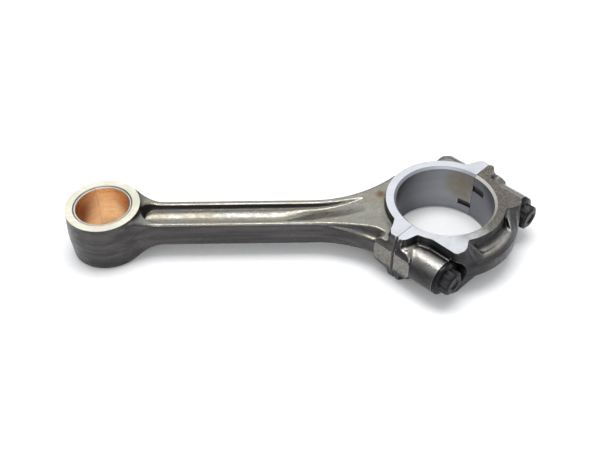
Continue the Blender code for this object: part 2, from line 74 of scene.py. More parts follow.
def opening_centre(name):
    """Middle of one of the record's openings, in metres."""
    openings = frame["record"]["physics"]["openings"]
    corners = next(opening["box_m"] for opening in openings if opening["name"] == name)
    return Vector([(low + high) / 2 for low, high in zip(*corners)])


def joint_axis(name):
    return Vector(next(joint["axis"] for joint in frame["joints"] if joint["name"] == name))


# Places in the row frame, in metres, and the frame's own sizes, in millimetres.
BIG_CENTRE = opening_centre("crankpin_bore")
SMALL_CENTRE = opening_centre("piston_pin_bore")
BIG_CENTRE.z = SMALL_CENTRE.z = (cad_box[0][2] + cad_box[1][2]) / 2
INTO_CAP = joint_axis("cap_lift")
JOINT_ANGLE = math.atan2(INTO_CAP.y, INTO_CAP.x) + math.radians(90.0)
CENTRE_DISTANCE = (BIG_CENTRE - SMALL_CENTRE).length * MM
BIG_HALF_WIDTH = (cad_box[1][2] - cad_box[0][2]) / 2 * MM
TO_ROW = Matrix.Translation(BIG_CENTRE) @ Matrix.Scale(1 / MM, 4)
JOINT_TO_ROD = Matrix.Rotation(JOINT_ANGLE, 4, "Z")
ALONG_JOINT = JOINT_TO_ROD.to_3x3() @ Vector((1, 0, 0))


def sleeve_offset():
    low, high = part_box("dowel_sleeve_far")
    return ((low + high) / 2 - BIG_CENTRE).dot(ALONG_JOINT) * MM


def bush_half_length():
    low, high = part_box("small_end_bush")
    return (high.z - low.z) / 2 * MM


BOLT_OFFSET = sleeve_offset()
BUSH_RECESS = 0.4
SMALL_HALF_WIDTH = bush_half_length() + BUSH_RECESS

# Sizes of the forgings, in millimetres.
BIG_BORE_RADIUS = 32.8
BIG_BORE_CHAMFER = 1.6
THRUST_RADIUS = 39.8
ROD_WALL_RADIUS = 47.5
ROD_BODY_HALF_HEIGHT = 12.5
CAP_BACK_RADIUS = 50.3
CAP_BAND_HALF_HEIGHT = 5.0
CAP_SHELF_HALF_HEIGHT = 8.8
BOSS_RADIUS = 12.0
SEAT_HEIGHT = 32.5
SPOT_FACE_RADIUS = 13.6
ROD_BOSS_DEPTH = 38.0
PAD_OFFSET = 53.4
PAD_HALF_HEIGHT = 7.0
PAD_SLOPE = 0.3
ROD_PAD_LENGTH = 15.5
CAP_PAD_LENGTH = 13.5
EAR_WIDTH = 49.8
ROD_EAR_LENGTH = 9.5
CAP_EAR_LENGTH = 6.2
LUG_WIDTH = 35.8
LUG_HEIGHT = 38.3
PAD_MARGIN = 0.6
JOINT_GAP = 0.3
JOINT_BREAK = 1.0

# Spare material left on a rough form, to be cut back by machining.
STOCK = 5.0

# Sizes of the bolts and their holes.
BOLT_RADIUS = 6.0
BOLT_WAIST_RADIUS = 5.3
BOLT_HOLE_RADIUS = 6.3
BOLT_REACH = 31.0
THREAD_LENGTH = 28.0
THREAD_PITCH = 1.5
FLANGE_RADIUS = 11.8
FLANGE_THICKNESS = 2.6
HEAD_RADIUS = 8.8
HEAD_HEIGHT = 9.6
FLANGE_GAP = 0.3
SLEEVE_RADIUS = 7.5
SLEEVE_HALF_LENGTH = 6.0
SLEEVE_CHAMFER = 0.4
COUNTERBORE_RADIUS = 7.8
COUNTERBORE_DEPTH = 6.3

# Slots for the bearing shells.
TANG_DEPTH = 1.4
TANG_LENGTH = 11.0
CAP_TANG_SPAN = (5.0, 10.0)
ROD_TANG_SPAN = (-11.5, -7.0)

# Sizes of the small end and the shank.
SMALL_OUTER_RADIUS = 25.1
SMALL_DRAFT = 1.1
BUSH_BORE_RADIUS = 18.0
BUSH_OUTER_RADIUS = 19.45
HOUSING_RADIUS = 19.7
BUSH_CHAMFER = 0.35
BORE_CHAMFER = 0.45
BUSH_SEAM_WIDTH = 0.15
BUSH_SEAM_ANGLE = math.radians(115.0)
SHANK_HALF_WIDTH = 12.3
SHANK_HALF_HEIGHT = 9.4
SHANK_BULGE = 0.7
SHANK_EDGE = 1.0
FLANGE_WALL = 3.8
WEB_HALF_THICKNESS = 2.3
POCKET_DRAFT = 0.9
NEAR_FLARE_RADIUS = 74.0
FAR_FLARE_RADIUS = 85.0
FLARE_START = 90.0
NEAR_FACET = (5.8, 5.6)
FAR_FACET = (3.0, 2.8)
NECK_RADIUS = 30.0
NECK_LENGTH = 15.0
POCKET_END_RADIUS = 8.0
POCKET_NEAR_RISE = (-114.0, -80.0)
POCKET_FAR_RISE = -88.0
POCKET_FLOOR = [
    (-1.0, 3.0), (-0.85, 1.6), (-0.5, 0.4), (-0.1, 0.0),
    (0.3, 0.5), (0.65, 1.6), (0.88, 2.7), (1.0, 4.0),
]

# Mesh quality: lengths in millimetres, and numbers of steps around or along.
VOXEL = 0.7
ROUNDING_STEPS = 9
CUT_SEGMENTS = 192
HOLE_SEGMENTS = 96
BODY_SEGMENTS = 160
SHARP_ANGLE = math.radians(30.0)

# How far a point looks around itself for walls, in how many directions, and from what height.
HOLLOW_REACH = 14.0
HOLLOW_RAYS = 14
HOLLOW_LIFT = 0.25

# A rusty spot on the rod's upper face, in the rod frame.
RUST_SPOT = (-42.0, 13.0, 12.5)


# -------------------------------- mesh tools

def mesh_object(name, bm, matrix=Matrix.Identity(4)):
    bm.transform(matrix)
    bmesh.ops.recalc_face_normals(bm, faces=bm.faces)
    mesh = bpy.data.meshes.new(name)
    bm.to_mesh(mesh)
    bm.free()
    obj = bpy.data.objects.new(name, mesh)
    bpy.context.scene.collection.objects.link(obj)
    return obj


def loft(name, rings, matrix=Matrix.Identity(4)):
    """Join rings of the same number of points, and cap the first and the last ring."""
    bm = bmesh.new()
    rows = [[bm.verts.new(point) for point in ring] for ring in rings]
    for lower, upper in zip(rows, rows[1:]):
        count = len(lower)
        for i in range(count):
            j = (i + 1) % count
            bm.faces.new((lower[i], lower[j], upper[j], upper[i]))
    bm.faces.new(list(reversed(rows[0])))
    bm.faces.new(rows[-1])
    return mesh_object(name, bm, matrix)


def prism(name, outline, bottom, top, matrix=Matrix.Identity(4)):
    return loft(name, [[(x, y, z) for x, y in outline] for z in (bottom, top)], matrix)


def circle(radius, height, segments):
    angles = [2 * math.pi * i / segments for i in range(segments)]
    return [(radius * math.cos(a), radius * math.sin(a), height) for a in angles]


def lathe(name, profile, segments, matrix=Matrix.Identity(4)):
    """Turn a closed solid from (radius, height) points that start and end off the axis."""
    return loft(name, [circle(radius, height, segments) for radius, height in profile], matrix)


def block(name, low, high, matrix=Matrix.Identity(4)):
    outline = [(low[0], low[1]), (high[0], low[1]), (high[0], high[1]), (low[0], high[1])]
    return prism(name, outline, low[2], high[2], matrix)


def applied(obj):
    """Replace an object's mesh with what its modifiers make of it."""
    bpy.context.view_layer.update()
    depsgraph = bpy.context.evaluated_depsgraph_get()
    mesh = bpy.data.meshes.new_from_object(obj.evaluated_get(depsgraph))
    obj.modifiers.clear()
    old = obj.data
    obj.data = mesh
    bpy.data.meshes.remove(old)
    return obj


def combine(target, tools, operation, solver):
    for tool in tools:
        modifier = target.modifiers.new("shape", "BOOLEAN")
        modifier.operation = operation
        modifier.solver = solver
        modifier.object = tool
        applied(target)
        bpy.data.objects.remove(tool)
    return target


def forge(obj):
    """Turn a rough union into one skin with rounded edges and filleted corners."""
    remesh = obj.modifiers.new("skin", "REMESH")
    remesh.mode = "VOXEL"
    remesh.voxel_size = VOXEL
    smooth = obj.modifiers.new("rounding", "SMOOTH")
    smooth.factor = 0.5
    smooth.iterations = ROUNDING_STEPS
    return applied(obj)


def mark_surface(obj):
    """Store how enclosed each point is, 0 to 1, and how level it lies: 0 on a wall, 1 on a flat."""
    mesh = obj.data
    tree = BVHTree.FromPolygons([v.co for v in mesh.vertices], [p.vertices for p in mesh.polygons])
    random.seed(3)
    spread = []
    for i in range(HOLLOW_RAYS):
        height = math.sqrt(1.0 - (i + 0.5) / HOLLOW_RAYS)
        turn = i * math.pi * (3.0 - math.sqrt(5.0)) + random.random()
        flat = math.sqrt(1.0 - height * height)
        spread.append(Vector((flat * math.cos(turn), flat * math.sin(turn), height)))
    shares = []
    for vertex in mesh.vertices:
        turn = vertex.normal.to_track_quat("Z", "Y")
        start = vertex.co + vertex.normal * HOLLOW_LIFT
        hits = 0.0
        for direction in spread:
            distance = tree.ray_cast(start, turn @ direction, HOLLOW_REACH)[3]
            if distance is not None:
                hits += 1.0 - distance / HOLLOW_REACH
        shares.append(hits / HOLLOW_RAYS)
    level = [abs(vertex.normal.z) for vertex in mesh.vertices]
    for name, values in (("hollow", shares), ("level", level)):
        mesh.attributes.new(name, "FLOAT", "POINT").data.foreach_set("value", values)


# -------------------------------- shared forms

def along_bolt(side, start=0.0):
    """Matrix from a solid turned about Z to one turned about a bolt axis, pointing into the cap."""
    turn = Matrix.Rotation(math.radians(90.0), 4, "X")
    return JOINT_TO_ROD @ Matrix.Translation((side * BOLT_OFFSET, -start, 0)) @ turn


def small_place():
    return Matrix.Translation((-CENTRE_DISTANCE, 0, 0))


def bore_cutter(name, radius, half_width, chamfer, matrix=Matrix.Identity(4)):
    mouth = radius + chamfer + STOCK
    profile = [
        (mouth, -half_width - STOCK),
        (radius, -half_width + chamfer),
        (radius, half_width - chamfer),
        (mouth, half_width + STOCK),
    ]
    return lathe(name, profile, CUT_SEGMENTS, matrix)


def face_cutters(half_width, centre, reach):
    """Blocks that mill both faces of one end flat."""
    top = half_width + 3 * STOCK
    return [
        block("face", (centre - reach, -reach, z), (centre + reach, reach, z + top))
        for z in (half_width, -half_width - top)
    ]


def joint_cutter(direction, start=JOINT_GAP / 2):
    """A block that takes away everything past the joint plane."""
    reach = CENTRE_DISTANCE + 4 * CAP_BACK_RADIUS
    low, high = sorted((-direction * start, direction * reach))
    return block("joint", (-reach, low, -60), (reach, high, 60), JOINT_TO_ROD)


def pad_cutters(direction, length):
    """Blocks that mill the side pads flat, and bars that break their edges at the joint line."""
    cuts = []
    near, far = sorted((-direction * STOCK, direction * length))
    for side in (-1, 1):
        low, high = sorted((side * PAD_OFFSET, side * (PAD_OFFSET + STOCK)))
        cuts.append(block("pad", (low, near, -30), (high, far, 30), JOINT_TO_ROD))
        path = [
            (EAR_WIDTH - 0.3, BIG_HALF_WIDTH + 1.0), (PAD_OFFSET, PAD_HALF_HEIGHT),
            (PAD_OFFSET, -PAD_HALF_HEIGHT), (EAR_WIDTH - 0.3, -BIG_HALF_WIDTH - 1.0),
        ]
        for start, end in zip(path, path[1:]):
            bar = []
            for x, z in (start, end):
                bar.append([
                    (side * (x + JOINT_BREAK), 0.0, z), (side * x, JOINT_BREAK, z),
                    (side * (x - JOINT_BREAK), 0.0, z), (side * x, -JOINT_BREAK, z),
                ])
            cuts.append(loft("joint_edge", bar, JOINT_TO_ROD))
    return cuts


def tang_cutter(span, direction):
    """A bearing-shell slot in the bore beside the joint line, on the far side."""
    steps = 16
    depth = BIG_BORE_RADIUS + TANG_DEPTH
    inner = BIG_BORE_RADIUS - STOCK
    angles = [direction * (TANG_LENGTH / depth * (i / steps) - 0.02) for i in range(steps + 1)]
    outline = [(depth * math.cos(a), depth * math.sin(a)) for a in angles]
    outline += [(inner * math.cos(a), inner * math.sin(a)) for a in reversed(angles)]
    return prism("tang", outline, span[0], span[1], JOINT_TO_ROD)


def side_block(side, direction, ear_length, pad_length):
    """The block behind a side pad: as tall as the thrust face at the joint, lower beyond it."""
    inner = BIG_BORE_RADIUS - STOCK
    low_crown = ROD_BODY_HALF_HEIGHT - 0.4
    tall_crown = BIG_HALF_WIDTH + STOCK
    step = 0.55 * ear_length
    stations = [
        (-STOCK, tall_crown),
        (step, tall_crown),
        (step + 1.2, low_crown),
        (pad_length - 4.0, low_crown),
        (pad_length, PAD_HALF_HEIGHT + 2.5),
    ]
    rings = []
    for along, crown in stations:
        width = PAD_OFFSET - PAD_SLOPE * (crown - PAD_HALF_HEIGHT)
        ridge = PAD_OFFSET + PAD_SLOPE * PAD_HALF_HEIGHT
        half = [(width, crown), (inner, crown)]
        section = [(x, -z) for x, z in reversed(half)] + [(ridge, 0.0)] + half
        rings.append([(side * x, direction * along, z) for x, z in section])
    return loft("shoulder", rings, JOINT_TO_ROD)


def ear_block(side, direction, length):
    """The full-width corner of the thrust face beside the joint line."""
    inner = BIG_BORE_RADIUS - 0.8 * STOCK
    start = -0.9 * direction * STOCK
    outline = [
        (inner, start),
        (EAR_WIDTH - 0.2, start),
        (EAR_WIDTH - 0.2, direction * 0.55 * length),
        (EAR_WIDTH - 0.32 * length, direction * 0.85 * length),
        (EAR_WIDTH - 0.75 * length, direction * length),
        (THRUST_RADIUS - 0.1 * length, direction * 1.25 * length),
        (inner, direction * 1.25 * length),
    ]
    skirt = 1.2
    grown = []
    for x, y in outline:
        outward = skirt if inner < x < EAR_WIDTH - 1.0 else 0.0
        grown.append((x, y + direction * outward))
    upper = [
        (grown, ROD_BODY_HALF_HEIGHT),
        (outline, BIG_HALF_WIDTH),
        (outline, BIG_HALF_WIDTH + STOCK),
    ]
    levels = [(ring, -z) for ring, z in reversed(upper)] + upper
    rings = [[(side * x, y, z) for x, y in ring] for ring, z in levels]
    return loft("ear", rings, JOINT_TO_ROD)


# -------------------------------- rod body

def flare(distance, radius):
    """How far a flank has moved outwards, on an arc that starts tangent to the shank."""
    run = min(distance, 0.8 * radius)
    return radius - math.sqrt(radius * radius - run * run)


def flare_share(x):
    """0 where the flanks start to flare, 1 where they reach the big end's wall."""
    return max(0.0, x + FLARE_START) / (FLARE_START - ROD_WALL_RADIUS)


def neck_start():
    return -CENTRE_DISTANCE + SMALL_OUTER_RADIUS + NECK_LENGTH


def shank_size(x):
    """Far and near half-widths and the half-height of the shank at x."""
    from_flare = max(0.0, x + FLARE_START)
    far = SHANK_HALF_WIDTH + flare(from_flare, FAR_FLARE_RADIUS)
    near = SHANK_HALF_WIDTH + flare(from_flare, NEAR_FLARE_RADIUS)
    neck = flare(max(0.0, neck_start() - x), NECK_RADIUS)
    rise = min(1.0, flare_share(x)) ** 2
    height = SHANK_HALF_HEIGHT + (ROD_BODY_HALF_HEIGHT - SHANK_HALF_HEIGHT) * rise
    height = min(height + neck, SMALL_HALF_WIDTH - 1.5)
    return far + 0.75 * neck, near + 0.75 * neck, height


def shank_ring(x):
    """Section of the shank: a bulge at the parting line and facets that grow with the flare."""
    far, near, height = shank_size(x)
    share = min(1.0, flare_share(x))
    far_in, far_down = (SHANK_EDGE + size * share ** k for size, k in zip(FAR_FACET, (2, 1)))
    near_in, near_down = (SHANK_EDGE + size * share ** k for size, k in zip(NEAR_FACET, (2, 1)))
    half = [
        (far + SHANK_BULGE, 0.0),
        (far, height - far_down),
        (far - far_in, height),
        (-near + near_in, height),
        (-near + 0.74 * near_in, height - 0.50 * near_down),
        (-near + 0.42 * near_in, height - 0.97 * near_down),
        (-near, height - near_down),
        (-near - SHANK_BULGE, 0.0),
    ]
    lower = [(y, -z) for y, z in reversed(half[1:-1])]
    return [(x, y, z) for y, z in half + lower]


def shank_form():
    """The shank and its flare, from inside one eye to inside the other."""
    start = -CENTRE_DISTANCE + 0.6 * SMALL_OUTER_RADIUS
    end = -BIG_BORE_RADIUS + 2.0
    steps = 90
    rings = [shank_ring(start + (end - start) * i / steps) for i in range(steps + 1)]
    return loft("rod_forging", rings)


def smooth_step(value, low, high):
    share = min(1.0, max(0.0, (value - low) / (high - low)))
    return share * share * (3 - 2 * share)


def pocket_form(face):
    """The I-section's recess on one face: round at the small end, a point at the big end."""
    start = -CENTRE_DISTANCE + SMALL_OUTER_RADIUS + 0.5
    tip = -ROD_WALL_RADIUS + 3.0
    rounds = 10
    shares = [0.5 - 0.5 * math.cos(math.pi / 2 * (i + 0.6) / rounds) for i in range(rounds)]
    stations = [start + 2 * POCKET_END_RADIUS * share for share in shares]
    steps = 50
    last = stations[-1]
    stations += [last + (tip - last) * (i + 1) / steps for i in range(steps)]
    rings = []
    for x in stations:
        far, _, height = shank_size(x)
        run = max(0.0, x + FLARE_START) / (FLARE_START + tip)
        near_rise = smooth_step(x, *POCKET_NEAR_RISE)
        far_rise = smooth_step(x, POCKET_FAR_RISE, tip)
        top = height + STOCK
        left = max(0.0, 1.0 - (x - start) / POCKET_END_RADIUS)
        end = math.sqrt(1.0 - left * left)
        width = SHANK_HALF_WIDTH - FLANGE_WALL
        far_edge = end * width + 0.45 * (far - SHANK_HALF_WIDTH) * (x > -FLARE_START)
        near_edge = end * width * (1.0 - 0.6 * run ** 2)
        draft = POCKET_DRAFT * end
        low = []
        for share, lift in POCKET_FLOOR:
            rise = near_rise + (far_rise - near_rise) * (share + 1) / 2
            floor = WEB_HALF_THICKNESS + (height + 0.3 - WEB_HALF_THICKNESS) * rise
            reach = near_edge - draft if share < 0 else far_edge - draft
            low.append((share * reach, floor + end * lift * (1.0 - rise)))
        high = [(far_edge + draft, top), (-near_edge - draft, top)]
        rings.append([(x, y, face * z) for y, z in low + high])
    return loft("pocket", rings)


def rod_skin():
    """The forging before any machining."""
    rod = shank_form()
    small_profile = [
        (SMALL_OUTER_RADIUS - 0.3, -SMALL_HALF_WIDTH - STOCK),
        (SMALL_OUTER_RADIUS + SMALL_DRAFT, 0.0),
        (SMALL_OUTER_RADIUS - 0.3, SMALL_HALF_WIDTH + STOCK),
    ]
    step = ROD_BODY_HALF_HEIGHT
    upper = [
        (ROD_WALL_RADIUS, 0.0),
        (ROD_WALL_RADIUS - 0.7, step - 4.5),
        (ROD_WALL_RADIUS - 3.0, step - 1.0),
        (THRUST_RADIUS + 1.2, step),
        (THRUST_RADIUS, step + 0.6),
        (THRUST_RADIUS, BIG_HALF_WIDTH + STOCK),
    ]
    lower = [(r, -z) for r, z in reversed(upper[1:])]
    parts = [
        lathe("small_eye", small_profile, 128, small_place()),
        lathe("big_eye", lower + upper, BODY_SEGMENTS),
    ]
    for side in (-1, 1):
        parts.append(side_block(side, 1, ROD_EAR_LENGTH, ROD_PAD_LENGTH))
        parts.append(ear_block(side, 1, ROD_EAR_LENGTH))
    boss_profile = [
        (BOSS_RADIUS - 0.6, -STOCK),
        (BOSS_RADIUS - 0.6, ROD_BOSS_DEPTH - 6.5),
        (BOSS_RADIUS - 2.5, ROD_BOSS_DEPTH - 2.2),
        (BOSS_RADIUS - 6.5, ROD_BOSS_DEPTH),
    ]
    backwards = Matrix.Rotation(math.pi, 4, "X")
    parts.append(lathe("far_boss", boss_profile, 64, along_bolt(1) @ backwards))
    combine(rod, parts, "UNION", "EXACT")
    cuts = [pocket_form(1), pocket_form(-1), joint_cutter(-1, -STOCK)]
    combine(rod, cuts, "DIFFERENCE", "EXACT")
    return forge(rod)


def build_rod():
    rod = rod_skin()
    cuts = [
        *face_cutters(BIG_HALF_WIDTH, 0.0, 80.0),
        *face_cutters(SMALL_HALF_WIDTH, -CENTRE_DISTANCE, 40.0),
        joint_cutter(-1),
        *pad_cutters(1, ROD_PAD_LENGTH + PAD_MARGIN),
        bore_cutter("big_bore", BIG_BORE_RADIUS, BIG_HALF_WIDTH, BIG_BORE_CHAMFER),
        bore_cutter("small_bore", HOUSING_RADIUS, SMALL_HALF_WIDTH, BORE_CHAMFER, small_place()),
        tang_cutter(ROD_TANG_SPAN, 1),
    ]
    for side in (-1, 1):
        hole = [
            (BOLT_HOLE_RADIUS, -BOLT_REACH - 2.0),
            (BOLT_HOLE_RADIUS, -COUNTERBORE_DEPTH),
            (COUNTERBORE_RADIUS, -COUNTERBORE_DEPTH),
            (COUNTERBORE_RADIUS, STOCK),
        ]
        cuts.append(lathe("thread_hole", hole, HOLE_SEGMENTS, along_bolt(side)))
    return combine(rod, cuts, "DIFFERENCE", "MANIFOLD")


# -------------------------------- cap

def lug_form(side):
    """The thrust face's lug beside a bolt head, its end sloping out to the cap's back."""
    back = CAP_BACK_RADIUS - 0.3
    inner = BIG_BORE_RADIUS - 2 * STOCK
    top = [
        (0.55 * LUG_WIDTH, LUG_HEIGHT - 5.5),
        (0.63 * LUG_WIDTH, LUG_HEIGHT - 3.0),
        (0.75 * LUG_WIDTH, LUG_HEIGHT - 0.5),
        (0.84 * LUG_WIDTH, LUG_HEIGHT),
        (0.965 * LUG_WIDTH, LUG_HEIGHT - 1.4),
        (LUG_WIDTH, LUG_HEIGHT - 3.3),
        (LUG_WIDTH, 12.0),
        (inner, 12.0),
    ]
    shares = (0.38, 0.48, 0.60, 0.73)
    base = [(share * LUG_WIDTH, math.sqrt(back ** 2 - (share * LUG_WIDTH) ** 2)) for share in shares]
    base += [
        (LUG_WIDTH, LUG_HEIGHT + 0.4),
        (LUG_WIDTH + 1.2, LUG_HEIGHT - 3.3),
        (LUG_WIDTH + 1.2, 12.0),
        (inner, 12.0),
    ]
    upper = [
        (base, CAP_BAND_HALF_HEIGHT - 0.4),
        (top, BIG_HALF_WIDTH),
        (top, BIG_HALF_WIDTH + STOCK),
    ]
    levels = [(ring, -z) for ring, z in reversed(upper)] + upper
    rings = [[(side * x, -y, z) for x, y in ring] for ring, z in levels]
    return loft("lug", rings, JOINT_TO_ROD)


def cap_skin():
    """The forging before any machining: a band, a shelf on each face, lugs, pads and bosses."""
    shelf = CAP_SHELF_HALF_HEIGHT
    upper = [
        (CAP_BACK_RADIUS, CAP_BAND_HALF_HEIGHT),
        (CAP_BACK_RADIUS - 0.9, CAP_BAND_HALF_HEIGHT + 0.6),
        (CAP_BACK_RADIUS - 1.3, CAP_BAND_HALF_HEIGHT + 1.7),
        (CAP_BACK_RADIUS - 2.3, shelf - 0.8),
        (CAP_BACK_RADIUS - 3.9, shelf),
        (THRUST_RADIUS + 4.8, shelf - 0.2),
        (THRUST_RADIUS + 3.1, shelf - 0.1),
        (THRUST_RADIUS + 1.9, shelf + 0.8),
        (THRUST_RADIUS + 1.0, shelf + 2.4),
        (THRUST_RADIUS + 0.5, shelf + 5.0),
        (THRUST_RADIUS, BIG_HALF_WIDTH - 1.5),
        (THRUST_RADIUS, BIG_HALF_WIDTH + STOCK),
    ]
    lower = [(r, -z) for r, z in reversed(upper)]
    cap = lathe("cap_forging", lower + upper, BODY_SEGMENTS)
    parts = []
    for side in (-1, 1):
        parts.append(side_block(side, -1, CAP_EAR_LENGTH, CAP_PAD_LENGTH))
        parts.append(ear_block(side, -1, CAP_EAR_LENGTH))
        parts.append(lug_form(side))
        boss = [(BOSS_RADIUS, CAP_PAD_LENGTH - 2.5), (BOSS_RADIUS, SEAT_HEIGHT + STOCK)]
        parts.append(lathe("boss", boss, HOLE_SEGMENTS, along_bolt(side)))
    combine(cap, parts, "UNION", "EXACT")
    combine(cap, [joint_cutter(1, -STOCK)], "DIFFERENCE", "EXACT")
    return forge(cap)


def build_cap():
    cap = cap_skin()
    cuts = [
        *face_cutters(BIG_HALF_WIDTH, 0.0, 80.0),
        joint_cutter(1),
        *pad_cutters(-1, CAP_PAD_LENGTH + PAD_MARGIN),
        bore_cutter("big_bore", BIG_BORE_RADIUS, BIG_HALF_WIDTH, BIG_BORE_CHAMFER),
        tang_cutter(CAP_TANG_SPAN, -1),
    ]
    for side in (-1, 1):
        hole = [
            (COUNTERBORE_RADIUS, -STOCK),
            (COUNTERBORE_RADIUS, COUNTERBORE_DEPTH),
            (BOLT_HOLE_RADIUS, COUNTERBORE_DEPTH),
            (BOLT_HOLE_RADIUS, SEAT_HEIGHT + STOCK),
        ]
        cuts.append(lathe("bolt_hole", hole, HOLE_SEGMENTS, along_bolt(side)))
        seat = [(SPOT_FACE_RADIUS, SEAT_HEIGHT), (SPOT_FACE_RADIUS, 2 * CAP_BACK_RADIUS)]
        cuts.append(lathe("spot_face", seat, CUT_SEGMENTS, along_bolt(side)))
    return combine(cap, cuts, "DIFFERENCE", "MANIFOLD")


# -------------------------------- bush, sleeves and bolts

def tube_profile(radius, half, chamfer):
    """Outside of a tube with chamfered ends."""
    return [
        (radius - chamfer, -half),
        (radius, -half + chamfer),
        (radius, half - chamfer),
        (radius - chamfer, half),
    ]


def build_bush():
    """A wrapped bush: a turned tube with chamfered ends and the seam where its ends meet."""
    half = SMALL_HALF_WIDTH - BUSH_RECESS
    outer = BUSH_OUTER_RADIUS
    profile = tube_profile(outer, half, BUSH_CHAMFER)
    bush = lathe("bush", profile, CUT_SEGMENTS, small_place())
    bore = bore_cutter("pin_bore", BUSH_BORE_RADIUS, half, BORE_CHAMFER, small_place())
    seam_half = BUSH_SEAM_WIDTH / 2
    turn = small_place() @ Matrix.Rotation(BUSH_SEAM_ANGLE, 4, "Z")
    seam = block("seam", (0, -seam_half, -2 * half), (2 * outer, seam_half, 2 * half), turn)
    return combine(bush, [bore, seam], "DIFFERENCE", "MANIFOLD")


def build_sleeve(name, side):
    """A locating sleeve around a bolt, half in the rod and half in the cap."""
    half = SLEEVE_HALF_LENGTH
    profile = tube_profile(SLEEVE_RADIUS, half, SLEEVE_CHAMFER)
    sleeve = lathe(name, profile, HOLE_SEGMENTS, along_bolt(side))
    bore = bore_cutter("sleeve_bore", BOLT_HOLE_RADIUS, half, 0.25, along_bolt(side))
    return combine(sleeve, [bore], "DIFFERENCE", "MANIFOLD")


def star_radius(angle):
    """Outline of two hexagons, one turned 30 degrees from the other, with the tips turned off."""
    apothem = HEAD_RADIUS * math.cos(math.radians(30))
    reach = 0.0
    for turn in (0.0, 30.0):
        local = (math.degrees(angle) + turn) % 60.0 - 30.0
        reach = max(reach, apothem / math.cos(math.radians(local)))
    return min(reach, HEAD_RADIUS * 0.985)


def thread_depth(height, tip):
    """Depth of the thread at a height, fading out at both of its ends."""
    run = min(height - tip - 0.6, tip + THREAD_LENGTH - height)
    return 0.92 * min(1.0, max(0.0, run / 1.2))


def build_bolt(name, side):
    """A flanged twelve-point bolt, its bearing face just clear of the cap's seat."""
    tip = -SEAT_HEIGHT - FLANGE_GAP - BOLT_REACH
    shoulder = -SLEEVE_HALF_LENGTH
    rings = []

    def turned(radius, height):
        rings.append(circle(radius, height, CUT_SEGMENTS))

    def starred(height, limit, blend=1.0):
        ring = []
        for i in range(CUT_SEGMENTS):
            angle = 2 * math.pi * i / CUT_SEGMENTS
            reach = min(star_radius(angle), limit)
            reach = reach * blend + limit * (1 - blend)
            ring.append((reach * math.cos(angle), reach * math.sin(angle), height))
        rings.append(ring)

    turned(0.6, tip)
    turned(BOLT_RADIUS - 1.4, tip)
    turned(BOLT_RADIUS - 0.9, tip + 0.5)
    rows_per_turn = 8
    rows = int(THREAD_LENGTH / THREAD_PITCH * rows_per_turn)
    for row in range(rows + 1):
        height = tip + 0.6 + (THREAD_LENGTH - 0.6) * row / rows
        ring = []
        for i in range(CUT_SEGMENTS):
            turn = i / CUT_SEGMENTS
            phase = (height / THREAD_PITCH - turn) % 1.0
            ramp = min(1.0, abs(2 * phase - 1.0) * 1.25)
            lead = min(1.0, (height - tip) / 1.4)
            crest = BOLT_RADIUS - 0.9 * (1 - lead)
            radius = crest - thread_depth(height, tip) * (1 - ramp) * lead
            angle = 2 * math.pi * turn
            ring.append((radius * math.cos(angle), radius * math.sin(angle), height))
        rings.append(ring)
    turned(BOLT_WAIST_RADIUS, tip + THREAD_LENGTH + 0.8)
    turned(BOLT_WAIST_RADIUS, shoulder - 0.8)
    turned(BOLT_RADIUS, shoulder)
    turned(BOLT_RADIUS, -0.5)
    turned(BOLT_RADIUS + 0.5, 0.0)
    turned(FLANGE_RADIUS - 0.35, 0.0)
    turned(FLANGE_RADIUS, 0.35)
    turned(FLANGE_RADIUS, FLANGE_THICKNESS - 0.9)
    turned(FLANGE_RADIUS - 0.12, FLANGE_THICKNESS - 0.55)
    turned(FLANGE_RADIUS - 0.5, FLANGE_THICKNESS - 0.28)
    turned(HEAD_RADIUS + 0.9, FLANGE_THICKNESS + 0.15)
    turned(HEAD_RADIUS + 0.25, FLANGE_THICKNESS + 0.45)
    starred(FLANGE_THICKNESS + 0.75, HEAD_RADIUS + 0.1, 0.75)
    starred(FLANGE_THICKNESS + 1.15, HEAD_RADIUS)
    top = HEAD_HEIGHT
    steps = 6
    starred(top - 1.6, HEAD_RADIUS)
    for step in range(1, steps + 1):
        share = step / steps
        starred(top - 1.6 + 1.35 * share, HEAD_RADIUS - 2.0 * share ** 1.5)
    turned(HEAD_RADIUS - 2.3, top)
    turned(4.6, top)
    turned(4.0, top - 0.35)
    turned(3.2, top - 0.95)
    turned(0.6, top - 1.1)
    return loft(name, rings, along_bolt(side, SEAT_HEIGHT + FLANGE_GAP))


# -------------------------------- surface zones

def zones(obj, rules):
    """Give each face the number of the first rule that it meets, or 0."""
    mesh = obj.data
    count = len(mesh.polygons)
    centres = np.empty(count * 3, np.float32)
    normals = np.empty(count * 3, np.float32)
    mesh.polygons.foreach_get("center", centres)
    mesh.polygons.foreach_get("normal", normals)
    centres = centres.reshape(-1, 3)
    normals = normals.reshape(-1, 3)
    index = np.zeros(count, np.int32)
    for number, rule in enumerate(rules, start=1):
        found = rule(centres, normals) & (index == 0)
        index[found] = number
    mesh.polygons.foreach_set("material_index", index)


def joint_coordinates(points):
    turn = np.array(JOINT_TO_ROD.to_3x3().inverted())
    return points @ turn.T


def on_plane(height, slack=0.05):
    def rule(centres, normals):
        return (abs(abs(centres[:, 2]) - height) < slack) & (abs(normals[:, 2]) > 0.99)
    return rule


def in_bore(centre_x, radius, slack=0.12):
    def rule(centres, normals):
        reach = np.hypot(centres[:, 0] - centre_x, centres[:, 1])
        return (reach < radius + slack) & (abs(normals[:, 2]) < 0.5)
    return rule


def on_chamfer(centres, normals):
    reach = np.hypot(centres[:, 0], centres[:, 1])
    at_mouth = abs(centres[:, 2]) > BIG_HALF_WIDTH - BIG_BORE_CHAMFER
    return (reach < BIG_BORE_RADIUS + BIG_BORE_CHAMFER) & at_mouth


